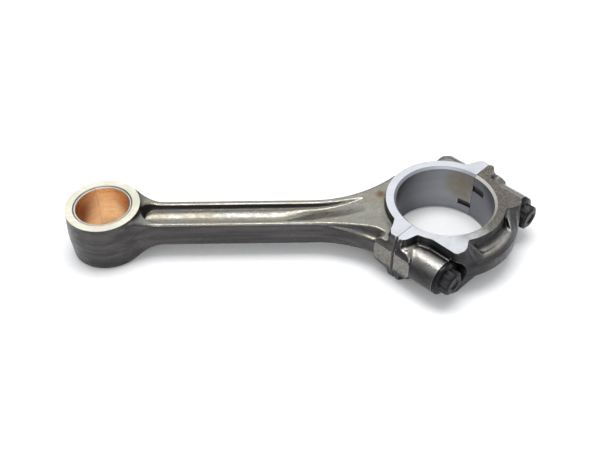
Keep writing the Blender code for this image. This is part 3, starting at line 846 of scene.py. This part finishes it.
def in_tang(span):
    """The floor and walls of a bearing-shell slot, which lie behind the bore's own surface."""
    def rule(centres, normals):
        reach = np.hypot(centres[:, 0], centres[:, 1])
        height = centres[:, 2]
        local = joint_coordinates(centres)
        inside = (height > span[0] - 0.05) & (height < span[1] + 0.05) & (local[:, 0] > 0)
        return inside & (reach > BIG_BORE_RADIUS + 0.08) & (reach < BIG_BORE_RADIUS + TANG_DEPTH + 0.1)
    return rule


def on_joint(centres, normals):
    local = joint_coordinates(centres)
    facing = abs(joint_coordinates(normals)[:, 1]) > 0.99
    return (abs(local[:, 1]) < 0.3) & facing


def on_joint_edge(centres, normals):
    """The broken edges that make the joint line dark on the side faces."""
    local = joint_coordinates(centres)
    facing = joint_coordinates(normals)
    near = (abs(local[:, 1]) < JOINT_BREAK + 0.05) & (abs(local[:, 0]) > EAR_WIDTH - 2.0)
    return near & (abs(facing[:, 1]) > 0.5)


def on_pad(centres, normals):
    local = joint_coordinates(centres)
    facing = abs(joint_coordinates(normals)[:, 0]) > 0.99
    return (abs(abs(local[:, 0]) - PAD_OFFSET) < 0.05) & facing


def in_bolt_hole(centres, normals):
    """The walls of a bolt's hole and its sleeve's counterbore."""
    local = joint_coordinates(centres)
    reach = np.hypot(abs(local[:, 0]) - BOLT_OFFSET, local[:, 2])
    return (reach < SLEEVE_RADIUS + 0.4) & (abs(local[:, 1]) < SEAT_HEIGHT + 0.1)


# -------------------------------- materials

class Graph:
    """Short names for building one material's nodes."""

    def __init__(self, name):
        self.material = bpy.data.materials.new(name)
        self.material.use_nodes = True
        self.tree = self.material.node_tree
        self.shader = self.tree.nodes["Principled BSDF"]
        self.place = self.add("ShaderNodeTexCoord").outputs["Object"]

    def add(self, kind, **settings):
        node = self.tree.nodes.new(kind)
        for key, value in settings.items():
            setattr(node, key, value)
        return node

    def feed(self, socket, value):
        if hasattr(value, "is_linked"):
            self.tree.links.new(value, socket)
        else:
            socket.default_value = value

    def scaled(self, scale, turn=0.0):
        node = self.add("ShaderNodeMapping")
        self.feed(node.inputs["Vector"], self.place)
        node.inputs["Scale"].default_value = scale
        node.inputs["Rotation"].default_value = (0.0, 0.0, turn)
        return node.outputs["Vector"]

    def noise(self, scale, detail=3.0, roughness=0.55, vector=None):
        node = self.add("ShaderNodeTexNoise")
        self.feed(node.inputs["Vector"], self.place if vector is None else vector)
        node.inputs["Scale"].default_value = scale
        node.inputs["Detail"].default_value = detail
        node.inputs["Roughness"].default_value = roughness
        return node.outputs["Fac"]

    def span(self, value, low, high, to_low=0.0, to_high=1.0):
        """Map a value from one range to another, held at both ends."""
        node = self.add("ShaderNodeMapRange", interpolation_type="SMOOTHSTEP")
        self.feed(node.inputs["Value"], value)
        ends = {"From Min": low, "From Max": high, "To Min": to_low, "To Max": to_high}
        for key, number in ends.items():
            node.inputs[key].default_value = number
        return node.outputs["Result"]

    def math(self, operation, first, second=0.0):
        node = self.add("ShaderNodeMath", operation=operation)
        self.feed(node.inputs[0], first)
        self.feed(node.inputs[1], second)
        return node.outputs[0]

    def times(self, first, second):
        return self.math("MULTIPLY", first, second)

    def mix(self, share, first, second):
        node = self.add("ShaderNodeMix", data_type="RGBA")
        self.feed(node.inputs["Factor"], share)
        for socket, value in ((node.inputs[6], first), (node.inputs[7], second)):
            self.feed(socket, value if hasattr(value, "is_linked") else (*value, 1.0))
        return node.outputs[2]

    def along(self, direction):
        """Distance in metres from the big end's centre along a direction."""
        shift = self.add("ShaderNodeVectorMath", operation="SUBTRACT")
        self.feed(shift.inputs[0], self.place)
        shift.inputs[1].default_value = BIG_CENTRE
        node = self.add("ShaderNodeVectorMath", operation="DOT_PRODUCT")
        self.feed(node.inputs[0], shift.outputs[0])
        node.inputs[1].default_value = direction
        return node.outputs["Value"]

    def spot(self, centre, inner, outer):
        """1 within the inner distance of a point, 0 past the outer one."""
        node = self.add("ShaderNodeVectorMath", operation="DISTANCE")
        self.feed(node.inputs[0], self.place)
        node.inputs[1].default_value = centre
        return self.span(node.outputs["Value"], inner, outer, 1.0, 0.0)

    def angle(self, centre):
        """Angle around a vertical axis, in turns from -0.5 to 0.5."""
        shift = self.add("ShaderNodeVectorMath", operation="SUBTRACT")
        self.feed(shift.inputs[0], self.place)
        shift.inputs[1].default_value = centre
        parts = self.add("ShaderNodeSeparateXYZ")
        self.feed(parts.inputs[0], shift.outputs[0])
        turn = self.math("ARCTAN2", parts.outputs[1], parts.outputs[0])
        return self.math("DIVIDE", turn, 2 * math.pi)

    def rings(self, centre, scale, wander=6.0):
        """Fine lines that run around a vertical axis, as a turning tool leaves them."""
        parts = self.add("ShaderNodeSeparateXYZ")
        self.feed(parts.inputs[0], self.place)
        vector = self.add("ShaderNodeCombineXYZ")
        self.feed(vector.inputs[0], self.times(self.angle(centre), wander))
        self.feed(vector.inputs[2], self.times(parts.outputs[2], scale))
        return self.noise(1.0, 2.0, vector=vector.outputs[0])

    def outer_edge(self, low, high):
        """How far a spot is on an outer edge, read from the mesh's pointiness."""
        geometry = self.add("ShaderNodeNewGeometry")
        return self.span(geometry.outputs["Pointiness"], low, high)

    def marked(self, name, low, high):
        node = self.add("ShaderNodeAttribute", attribute_name=name)
        return self.span(node.outputs["Fac"], low, high)

    def bump(self, height, strength, distance, under=None):
        node = self.add("ShaderNodeBump")
        node.inputs["Strength"].default_value = strength
        node.inputs["Distance"].default_value = distance
        self.feed(node.inputs["Height"], height)
        if under is not None:
            self.feed(node.inputs["Normal"], under)
        return node.outputs["Normal"]

    def done(self, color, metallic, roughness, normal, specular=0.5):
        base = color if hasattr(color, "is_linked") else (*color, 1)
        self.feed(self.shader.inputs["Base Color"], base)
        self.shader.inputs["Metallic"].default_value = metallic
        self.shader.inputs["Specular IOR Level"].default_value = specular
        self.feed(self.shader.inputs["Roughness"], roughness)
        self.feed(self.shader.inputs["Normal"], normal)
        return self.material


def forged_material(name, grey, brown, bright, wall, stain, corners):
    """Forged and blasted skin: blotches, drawn-out streaks and fine grain, with painted shade on steep
    walls and in hollows, and lighter outer edges, partly wear and partly a painted highlight.
    """
    g = Graph(name)
    blotch = g.span(g.noise(38.0, 4.0), 0.42, 0.66)
    patch = g.span(g.noise(85.0, 5.0, 0.6), 0.50, 0.72, 0.0, stain)
    streak = g.noise(1.0, 4.0, vector=g.scaled((14.0, 160.0, 240.0)))
    grain = g.noise(1500.0, 2.0)
    color = g.mix(g.math("MAXIMUM", g.times(blotch, 0.6), patch), grey, brown)
    color = g.mix(g.span(streak, 0.35, 0.75, 0.0, 0.55), color, [c * 0.62 for c in grey])
    color = g.mix(g.span(grain, 0.35, 0.70, 0.0, 0.35), color, [c * 1.9 for c in grey])
    rust = g.spot(BIG_CENTRE + Vector(RUST_SPOT) / MM, 0.001, 0.005)
    rust = g.times(rust, g.span(grain, 0.35, 0.6, 0.5, 1.0))
    color = g.mix(rust, color, (0.105, 0.050, 0.018))
    # Painted shade: steep walls take the darker wall colour, and level tops keep the lighter colour.
    scale = g.math("SUBTRACT", 1.0, g.marked("level", 0.35, 0.97))
    wall_shade = g.mix(g.span(streak, 0.38, 0.66), [c * 0.60 for c in wall], wall)
    color = g.mix(scale, color, wall_shade)
    shadow = g.times(g.marked("hollow", *corners), 0.88)
    color = g.mix(shadow, color, (0.010, 0.009, 0.009))
    # Outer edges lighter: partly wear, partly a painted highlight.
    color = g.mix(g.times(g.outer_edge(0.515, 0.565), 0.8), color, bright)
    roughness = g.span(g.noise(260.0, 4.0), 0.3, 0.7, 0.25, 0.43)
    dents = g.bump(g.noise(170.0, 3.0), 0.35, 0.0006)
    normal = g.bump(g.noise(900.0, 3.0, 0.65), 0.28, 0.00022, dents)
    return g.done(color, 0.88, roughness, normal)


def ground_material(name, light, dark, stained=None):
    """Ground face: fine straight scratches, a slight cloud, and specks."""
    g = Graph(name)
    scratch = g.noise(1.0, 3.0, vector=g.scaled((60.0, 1900.0, 60.0), 0.5))
    cloud = g.span(g.noise(45.0, 4.0), 0.35, 0.7)
    speck = g.span(g.noise(1100.0, 2.0, 0.7), 0.66, 0.76, 0.0, 0.35)
    color = g.mix(cloud, light, [0.5 * (a + b) for a, b in zip(light, dark)])
    color = g.mix(g.span(scratch, 0.45, 0.75, 0.0, 0.35), color, dark)
    color = g.mix(speck, color, dark)
    if stained is not None:
        mottle = g.span(g.noise(650.0, 5.0, 0.7), 0.38, 0.64)
        color = g.mix(stained(g), color, g.mix(mottle, (0.050, 0.045, 0.037), (0.125, 0.108, 0.084)))
    roughness = g.span(scratch, 0.3, 0.7, 0.30, 0.44)
    normal = g.bump(scratch, 0.12, 0.0001)
    return g.done(color, 0.85, roughness, normal)


def cap_face_stain(g):
    """The cap's thrust face is oxidised brown on its far side and bright on its near side."""
    run = g.along(ALONG_JOINT)
    uneven = g.times(g.math("SUBTRACT", g.noise(90.0, 4.0), 0.5), 0.030)
    return g.span(g.math("ADD", run, uneven), -0.036, 0.006, 0.0, 0.95)


def rod_face_stain(g):
    """Brown corner of the rod's face at the joint line, on the near side."""
    corner = BIG_CENTRE - ALONG_JOINT * 0.046 + INTO_CAP * -0.001
    uneven = g.span(g.noise(240.0, 4.0), 0.4, 0.6, 0.2, 0.7)
    return g.times(g.spot(corner, 0.002, 0.009), uneven)


def bore_material(name, light, dark, centre, warm_at=None):
    """Bored and honed surface with fine rings, painted shade towards -X, and a warm patch where named.
    """
    g = Graph(name)
    rings = g.rings(centre, 5200.0)
    bands = g.span(g.rings(centre, 300.0, 3.0), 0.3, 0.75, 0.0, 0.35)
    color = g.mix(bands, light, dark)
    color = g.mix(g.span(rings, 0.4, 0.7, 0.0, 0.25), color, dark)
    # Painted shade: the bore darkens towards -X.
    painted_shade_turn = g.math("ABSOLUTE", g.angle(centre))
    color = g.mix(g.span(painted_shade_turn, 0.21, 0.45, 0.0, 0.92), color, [c * 0.14 for c in dark])
    if warm_at is not None:
        uneven = g.span(g.noise(120.0, 4.0), 0.3, 0.6, 0.5, 0.9)
        patch = g.times(g.spot(warm_at, 0.006, 0.017), uneven)
        color = g.mix(patch, color, (0.20, 0.17, 0.12))
    roughness = g.span(rings, 0.3, 0.7, 0.30, 0.42)
    return g.done(color, 0.92, roughness, g.bump(rings, 0.10, 0.0001))


def milled_material(name, light, dark):
    """Rough milled face: short cross-hatched marks, pits and brown stains."""
    g = Graph(name)
    marks = g.noise(1.0, 3.0, vector=g.scaled((1500.0, 1500.0, 600.0)))
    pits = g.span(g.noise(1500.0, 3.0, 0.7), 0.55, 0.72)
    color = g.mix(g.span(marks, 0.35, 0.7), light, dark)
    color = g.mix(g.times(pits, 0.5), color, [c * 0.45 for c in dark])
    color = g.mix(g.span(g.noise(140.0, 4.0), 0.52, 0.72, 0.0, 0.6), color, (0.16, 0.12, 0.08))
    normal = g.bump(g.noise(1500.0, 3.0, 0.7), 0.3, 0.0002)
    return g.done(color, 0.8, g.span(marks, 0.3, 0.7, 0.38, 0.56), normal)


def bronze_material():
    """Bronze lining: warm, with fine rings, a slight mottle, and darker towards the bore's two side
    walls.
    """
    g = Graph("bush_bronze_lining")
    rings = g.rings(SMALL_CENTRE, 4200.0)
    mottle = g.span(g.noise(110.0, 5.0, 0.6), 0.35, 0.7)
    color = g.mix(mottle, (0.97, 0.65, 0.36), (0.88, 0.54, 0.27))
    color = g.mix(g.span(rings, 0.5, 0.8, 0.0, 0.2), color, (0.66, 0.36, 0.17))
    # Darker towards both side walls of the bore.
    for side in (-1, 1):
        wall = SMALL_CENTRE + Vector((side * BUSH_BORE_RADIUS / MM, 0.0, 0.004))
        side_darkening = g.spot(wall, 0.005, 0.024)
        color = g.mix(g.times(side_darkening, 0.85), color, (0.26, 0.065, 0.022))
    roughness = g.span(rings, 0.3, 0.7, 0.24, 0.38)
    return g.done(color, 0.95, roughness, g.bump(rings, 0.12, 0.0001))


def black_material():
    """Black oxide on a cold-formed bolt: oily, with a fine grain and slightly worn corners."""
    g = Graph("bolt_black_oxide")
    grain = g.noise(1400.0, 3.0)
    color = g.mix(g.span(grain, 0.35, 0.7), (0.004, 0.004, 0.006), (0.010, 0.010, 0.012))
    color = g.mix(g.span(g.noise(210.0, 4.0), 0.58, 0.78, 0.0, 0.4), color, (0.018, 0.015, 0.012))
    color = g.mix(g.times(g.outer_edge(0.55, 0.66), 0.2), color, (0.08, 0.078, 0.075))
    normal = g.bump(grain, 0.10, 0.0001)
    return g.done(color, 0.0, g.span(g.noise(330.0), 0.3, 0.7, 0.22, 0.34), normal, 0.14)


def hole_material():
    g = Graph("bolt_hole_wall")
    rings = g.noise(1.0, 2.0, vector=g.scaled((1200.0, 1200.0, 150.0)))
    color = g.mix(g.span(rings, 0.35, 0.7), (0.055, 0.052, 0.05), (0.11, 0.10, 0.09))
    return g.done(color, 0.7, g.span(rings, 0.3, 0.7, 0.4, 0.6), g.bump(rings, 0.2, 0.0001))


def floor_material():
    g = Graph("floor_paper")
    grain = g.noise(420.0, 3.0)
    color = g.mix(g.span(grain, 0.3, 0.7), (0.90, 0.90, 0.90), (0.875, 0.875, 0.88))
    roughness = g.span(grain, 0.3, 0.7, 0.75, 0.85)
    return g.done(color, 0.0, roughness, g.bump(grain, 0.05, 0.0002), 0.2)


def joint_patch():
    """Middle of the warm patch in the rod's bore, just short of the far joint line."""
    turn = Matrix.Rotation(math.radians(14.0), 3, "Z")
    return BIG_CENTRE + (turn @ ALONG_JOINT) * (BIG_BORE_RADIUS / MM) + Vector((0, 0, 0.006))


forged = forged_material(
    "forged_skin",
    grey=(0.190, 0.186, 0.162),
    brown=(0.190, 0.150, 0.100),
    bright=(0.62, 0.61, 0.56),
    wall=(0.082, 0.077, 0.078),
    stain=0.5,
    corners=(0.16, 0.48),
)
# The cap's copy has lighter tops and darker walls and hollows than the rod's: more painted highlight
# and shade.
cap_forged = forged_material(
    "cap_forged_skin",
    grey=(0.250, 0.246, 0.238),
    brown=(0.230, 0.185, 0.14),
    bright=(0.64, 0.63, 0.58),
    wall=(0.046, 0.045, 0.047),
    stain=0.3,
    corners=(0.05, 0.30),
)
rod_face = ground_material("rod_thrust_face", (0.49, 0.50, 0.525), (0.33, 0.34, 0.365), rod_face_stain)
cap_face = ground_material("cap_thrust_face", (0.52, 0.53, 0.555), (0.35, 0.36, 0.385), cap_face_stain)
small_face = ground_material("small_end_face", (0.64, 0.615, 0.515), (0.36, 0.35, 0.29))
chamfer_face = ground_material("bore_chamfer", (0.42, 0.44, 0.48), (0.26, 0.27, 0.30))
# The cap's chamfer is a lighter copy of the chamfer finish: a painted highlight.
cap_chamfer_painted_highlight = ground_material("cap_chamfer_painted_highlight", (0.80, 0.78, 0.70), (0.52, 0.51, 0.46))
rod_bore = bore_material(
    "rod_bore", (0.27, 0.275, 0.295), (0.17, 0.17, 0.185), BIG_CENTRE, joint_patch())
# The cap's half of the bore is a darker copy of the rod's: painted shade.
cap_bore_painted_shade = bore_material("cap_bore_painted_shade", (0.19, 0.19, 0.215), (0.12, 0.12, 0.135), BIG_CENTRE)
small_bore = bore_material("small_bore", (0.30, 0.29, 0.27), (0.15, 0.15, 0.14), SMALL_CENTRE)
milled = milled_material("milled_face", (0.27, 0.26, 0.235), (0.15, 0.145, 0.13))
hole_wall = hole_material()
bronze = bronze_material()
bush_edge = ground_material("bush_edge", (0.56, 0.54, 0.49), (0.26, 0.25, 0.22))
black = black_material()
sleeve_steel = ground_material("sleeve_steel", (0.52, 0.52, 0.53), (0.33, 0.33, 0.34))


def place(obj, materials, body, node):
    """Move a finished piece to the row frame, hang it under its body and hide its CAD node."""
    index = np.zeros(len(obj.data.polygons), np.int32)
    obj.data.polygons.foreach_get("material_index", index)
    obj.data.transform(TO_ROW)
    obj.data.materials.clear()
    for material in materials:
        obj.data.materials.append(material)
    obj.data.polygons.foreach_set("material_index", index)
    obj.data.shade_smooth()
    obj.data.set_sharp_from_angle(angle=SHARP_ANGLE)
    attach(obj, body)
    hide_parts(node)


def finish_forging(obj, skin, surfaces, body, node):
    """Mark a forging, and give each machined surface, a pair of rule and material, its finish."""
    mark_surface(obj)
    zones(obj, [rule for rule, _ in surfaces])
    place(obj, [skin] + [material for _, material in surfaces], body, node)


rod_surfaces = [
    (on_plane(BIG_HALF_WIDTH), rod_face),
    (on_plane(SMALL_HALF_WIDTH), small_face),
    (on_chamfer, chamfer_face),
    # The bearing-shell slot takes the dark hole finish: painted shade in the slot.
    (in_tang(ROD_TANG_SPAN), hole_wall),
    (in_bore(0.0, BIG_BORE_RADIUS), rod_bore),
    (in_bore(-CENTRE_DISTANCE, HOUSING_RADIUS), small_bore),
    (in_bolt_hole, hole_wall),
    (on_joint_edge, hole_wall),
    (on_joint, milled),
    (on_pad, milled),
]
finish_forging(build_rod(), forged, rod_surfaces, "rod", "rod_body")

cap_surfaces = [
    (on_plane(BIG_HALF_WIDTH), cap_face),
    (on_chamfer, cap_chamfer_painted_highlight),
    # The bearing-shell slot takes the dark hole finish: painted shade in the slot.
    (in_tang(CAP_TANG_SPAN), hole_wall),
    (in_bore(0.0, BIG_BORE_RADIUS), cap_bore_painted_shade),
    (in_bolt_hole, hole_wall),
    (on_joint_edge, hole_wall),
    (on_joint, milled),
    (on_pad, milled),
]
finish_forging(build_cap(), cap_forged, cap_surfaces, "cap", "bearing_cap")

bush = build_bush()
zones(bush, [in_bore(-CENTRE_DISTANCE, BUSH_BORE_RADIUS)])
place(bush, [bush_edge, bronze], "rod", "small_end_bush")

for side, where in ((-1, "near"), (1, "far")):
    bolt = build_bolt(f"bolt_{where}", side)
    place(bolt, [black], f"bolt_{where}", f"cap_bolt_{where}")
    sleeve = build_sleeve(f"sleeve_{where}", side)
    place(sleeve, [sleeve_steel], "rod", f"dowel_sleeve_{where}")


# -------------------------------- floor, light and camera

def build_stage():
    bm = bmesh.new()
    bmesh.ops.create_grid(bm, x_segments=1, y_segments=1, size=4.0)
    floor = mesh_object("floor", bm)
    floor.data.materials.append(floor_material())


def area_light(name, place_at, size, power):
    """A white softbox that faces the middle of the rod."""
    light = bpy.data.lights.new(name, "AREA")
    light.shape = "RECTANGLE"
    light.size, light.size_y = size
    light.energy = power
    obj = bpy.data.objects.new(name, light)
    bpy.context.scene.collection.objects.link(obj)
    obj.location = place_at
    obj.rotation_euler = (-Vector(place_at)).to_track_quat("-Z", "Y").to_euler()


build_stage()
area_light("overhead", (0.0, 0.12, 1.05), (0.75, 0.42), 8.5)
area_light("back_panel", (-0.1, 1.15, 1.0), (1.7, 0.42), 3.6)
area_light("front_fill", (0.0, -1.2, 0.75), (0.9, 0.4), 4.5)


def build_sky(low, high, strength):
    """Even studio light: brighter overhead, in front and behind than at the two ends."""
    world = bpy.data.worlds.new("studio")
    bpy.context.scene.world = world
    world.use_nodes = True
    tree = world.node_tree
    place_at = tree.nodes.new("ShaderNodeTexCoord")
    parts = tree.nodes.new("ShaderNodeSeparateXYZ")
    tree.links.new(place_at.outputs["Generated"], parts.inputs[0])
    side = tree.nodes.new("ShaderNodeMath")
    side.operation = "ABSOLUTE"
    tree.links.new(parts.outputs[1], side.inputs[0])
    share = tree.nodes.new("ShaderNodeMath")
    share.operation = "MULTIPLY_ADD"
    tree.links.new(side.outputs[0], share.inputs[0])
    share.inputs[1].default_value = 0.55
    tree.links.new(parts.outputs[2], share.inputs[2])
    ramp = tree.nodes.new("ShaderNodeValToRGB")
    ramp.color_ramp.elements[0].position = 0.10
    ramp.color_ramp.elements[0].color = (*low, 1)
    ramp.color_ramp.elements[1].position = 1.0
    ramp.color_ramp.elements[1].color = (*high, 1)
    tree.links.new(share.outputs[0], ramp.inputs[0])
    background = tree.nodes["Background"]
    tree.links.new(ramp.outputs[0], background.inputs["Color"])
    background.inputs["Strength"].default_value = strength


build_sky((0.30, 0.31, 0.33), (0.95, 0.97, 1.0), 0.75)

LENS = 52.09
SENSOR = 36.0
VIEW_DISTANCE = 0.59145
VIEW_YAW = 0.0069
VIEW_PITCH = 0.7729
VIEW_ROLL = -0.0177
VIEW_TARGET = BIG_CENTRE + Vector((-97.56, -3.45, 0.0)) / MM


def build_camera():
    back = Vector((
        math.sin(VIEW_YAW) * math.cos(VIEW_PITCH),
        -math.cos(VIEW_YAW) * math.cos(VIEW_PITCH),
        math.sin(VIEW_PITCH),
    ))
    right = Vector((math.cos(VIEW_YAW), math.sin(VIEW_YAW), 0.0))
    turn = Matrix((right, back.cross(right), back)).transposed()
    turn = turn @ Matrix.Rotation(VIEW_ROLL, 3, "Z")
    camera = bpy.data.cameras.new("camera")
    camera.lens = LENS
    camera.sensor_width = SENSOR
    obj = bpy.data.objects.new("camera", camera)
    bpy.context.scene.collection.objects.link(obj)
    obj.matrix_world = Matrix.Translation(VIEW_TARGET + back * VIEW_DISTANCE) @ turn.to_4x4()
    bpy.context.scene.camera = obj


build_camera()
bpy.context.scene.view_settings.view_transform = "Standard"
